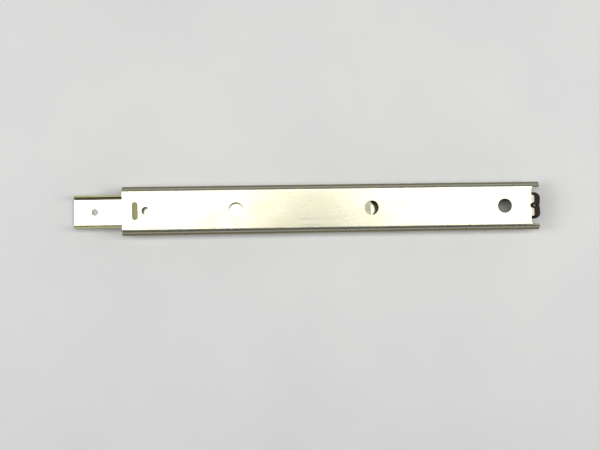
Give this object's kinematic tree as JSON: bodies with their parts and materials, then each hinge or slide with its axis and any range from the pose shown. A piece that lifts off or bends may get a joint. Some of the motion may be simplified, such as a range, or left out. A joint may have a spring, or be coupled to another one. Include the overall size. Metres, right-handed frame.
{
  "type": "cabinet drawer slide",
  "caption": "Two-member ball-bearing slide for a cabinet drawer: rolled steel channels run on caged balls, with a rubber rear bumper.",
  "frame": {"origin": "centre of the cabinet member's front screw hole, on the cabinet mounting face", "axes": "+X along the slide to the rear of the cabinet, so the drawer opens towards -X; +Y up in use; +Z out of the cabinet mounting face"},
  "size_m": [0.3404, 0.0354, 0.0127],
  "materials": {
    "cabinet_steel": "bright zinc plate on rolled sheet, faint rolling lines",
    "drawer_steel": "bright zinc plate on rolled sheet, faint rolling lines",
    "cage_steel": "dull pressed sheet with a film of grease",
    "ball_steel": "hardened and polished",
    "bumper_rubber": "moulded, dark brown-black, slightly dusty"
  },
  "bodies": {
    "cabinet_member": {"cabinet_rail": "cabinet_steel", "rear_bumper": "bumper_rubber"},
    "drawer_member": {"drawer_rail": "drawer_steel"},
    "ball_retainer": {"ball_cage": "cage_steel"},
    "upper_ball_1": {"upper_ball_1": "ball_steel"},
    "lower_ball_1": {"lower_ball_1": "ball_steel"},
    "upper_ball_2": {"upper_ball_2": "ball_steel"},
    "lower_ball_2": {"lower_ball_2": "ball_steel"},
    "upper_ball_3": {"upper_ball_3": "ball_steel"},
    "lower_ball_3": {"lower_ball_3": "ball_steel"},
    "upper_ball_4": {"upper_ball_4": "ball_steel"},
    "lower_ball_4": {"lower_ball_4": "ball_steel"},
    "upper_ball_5": {"upper_ball_5": "ball_steel"},
    "lower_ball_5": {"lower_ball_5": "ball_steel"},
    "upper_ball_6": {"upper_ball_6": "ball_steel"},
    "lower_ball_6": {"lower_ball_6": "ball_steel"},
    "upper_ball_7": {"upper_ball_7": "ball_steel"},
    "lower_ball_7": {"lower_ball_7": "ball_steel"},
    "upper_ball_8": {"upper_ball_8": "ball_steel"},
    "lower_ball_8": {"lower_ball_8": "ball_steel"}
  },
  "joints": [
    {"name": "drawer_slide", "type": "slide", "parent": "cabinet_member", "child": "drawer_member", "axis": [-1, 0, 0], "range_m": [-0.0355, 0.1588]},
    {"name": "cage_slide", "type": "slide", "parent": "cabinet_member", "child": "ball_retainer", "axis": [-1, 0, 0], "range_m": [-0.01785, 0.0795]},
    {"name": "upper_ball_1_roll", "type": "hinge", "parent": "ball_retainer", "child": "upper_ball_1", "pos_m": [0.08, 0.01372, -0.00525], "axis": [0, 0, 1], "continuous": true},
    {"name": "lower_ball_1_roll", "type": "hinge", "parent": "ball_retainer", "child": "lower_ball_1", "pos_m": [0.08, -0.01372, -0.00525], "axis": [0, 0, 1], "continuous": true},
    {"name": "upper_ball_2_roll", "type": "hinge", "parent": "ball_retainer", "child": "upper_ball_2", "pos_m": [0.091, 0.01372, -0.00525], "axis": [0, 0, 1], "continuous": true},
    {"name": "lower_ball_2_roll", "type": "hinge", "parent": "ball_retainer", "child": "lower_ball_2", "pos_m": [0.091, -0.01372, -0.00525], "axis": [0, 0, 1], "continuous": true},
    {"name": "upper_ball_3_roll", "type": "hinge", "parent": "ball_retainer", "child": "upper_ball_3", "pos_m": [0.102, 0.01372, -0.00525], "axis": [0, 0, 1], "continuous": true},
    {"name": "lower_ball_3_roll", "type": "hinge", "parent": "ball_retainer", "child": "lower_ball_3", "pos_m": [0.102, -0.01372, -0.00525], "axis": [0, 0, 1], "continuous": true},
    {"name": "upper_ball_4_roll", "type": "hinge", "parent": "ball_retainer", "child": "upper_ball_4", "pos_m": [0.113, 0.01372, -0.00525], "axis": [0, 0, 1], "continuous": true},
    {"name": "lower_ball_4_roll", "type": "hinge", "parent": "ball_retainer", "child": "lower_ball_4", "pos_m": [0.113, -0.01372, -0.00525], "axis": [0, 0, 1], "continuous": true},
    {"name": "upper_ball_5_roll", "type": "hinge", "parent": "ball_retainer", "child": "upper_ball_5", "pos_m": [0.124, 0.01372, -0.00525], "axis": [0, 0, 1], "continuous": true},
    {"name": "lower_ball_5_roll", "type": "hinge", "parent": "ball_retainer", "child": "lower_ball_5", "pos_m": [0.124, -0.01372, -0.00525], "axis": [0, 0, 1], "continuous": true},
    {"name": "upper_ball_6_roll", "type": "hinge", "parent": "ball_retainer", "child": "upper_ball_6", "pos_m": [0.135, 0.01372, -0.00525], "axis": [0, 0, 1], "continuous": true},
    {"name": "lower_ball_6_roll", "type": "hinge", "parent": "ball_retainer", "child": "lower_ball_6", "pos_m": [0.135, -0.01372, -0.00525], "axis": [0, 0, 1], "continuous": true},
    {"name": "upper_ball_7_roll", "type": "hinge", "parent": "ball_retainer", "child": "upper_ball_7", "pos_m": [0.146, 0.01372, -0.00525], "axis": [0, 0, 1], "continuous": true},
    {"name": "lower_ball_7_roll", "type": "hinge", "parent": "ball_retainer", "child": "lower_ball_7", "pos_m": [0.146, -0.01372, -0.00525], "axis": [0, 0, 1], "continuous": true},
    {"name": "upper_ball_8_roll", "type": "hinge", "parent": "ball_retainer", "child": "upper_ball_8", "pos_m": [0.157, 0.01372, -0.00525], "axis": [0, 0, 1], "continuous": true},
    {"name": "lower_ball_8_roll", "type": "hinge", "parent": "ball_retainer", "child": "lower_ball_8", "pos_m": [0.157, -0.01372, -0.00525], "axis": [0, 0, 1], "continuous": true}
  ],
  "couplings": [
    {"joint": "cage_slide", "follows": "drawer_slide", "ratio": 0.5},
    {"joint": "upper_ball_1_roll", "follows": "drawer_slide", "rad_per_m": -209.97},
    {"joint": "lower_ball_1_roll", "follows": "drawer_slide", "rad_per_m": 209.97},
    {"joint": "upper_ball_2_roll", "follows": "drawer_slide", "rad_per_m": -209.97},
    {"joint": "lower_ball_2_roll", "follows": "drawer_slide", "rad_per_m": 209.97},
    {"joint": "upper_ball_3_roll", "follows": "drawer_slide", "rad_per_m": -209.97},
    {"joint": "lower_ball_3_roll", "follows": "drawer_slide", "rad_per_m": 209.97},
    {"joint": "upper_ball_4_roll", "follows": "drawer_slide", "rad_per_m": -209.97},
    {"joint": "lower_ball_4_roll", "follows": "drawer_slide", "rad_per_m": 209.97},
    {"joint": "upper_ball_5_roll", "follows": "drawer_slide", "rad_per_m": -209.97},
    {"joint": "lower_ball_5_roll", "follows": "drawer_slide", "rad_per_m": 209.97},
    {"joint": "upper_ball_6_roll", "follows": "drawer_slide", "rad_per_m": -209.97},
    {"joint": "lower_ball_6_roll", "follows": "drawer_slide", "rad_per_m": 209.97},
    {"joint": "upper_ball_7_roll", "follows": "drawer_slide", "rad_per_m": -209.97},
    {"joint": "lower_ball_7_roll", "follows": "drawer_slide", "rad_per_m": 209.97},
    {"joint": "upper_ball_8_roll", "follows": "drawer_slide", "rad_per_m": -209.97},
    {"joint": "lower_ball_8_roll", "follows": "drawer_slide", "rad_per_m": 209.97}
  ]
}
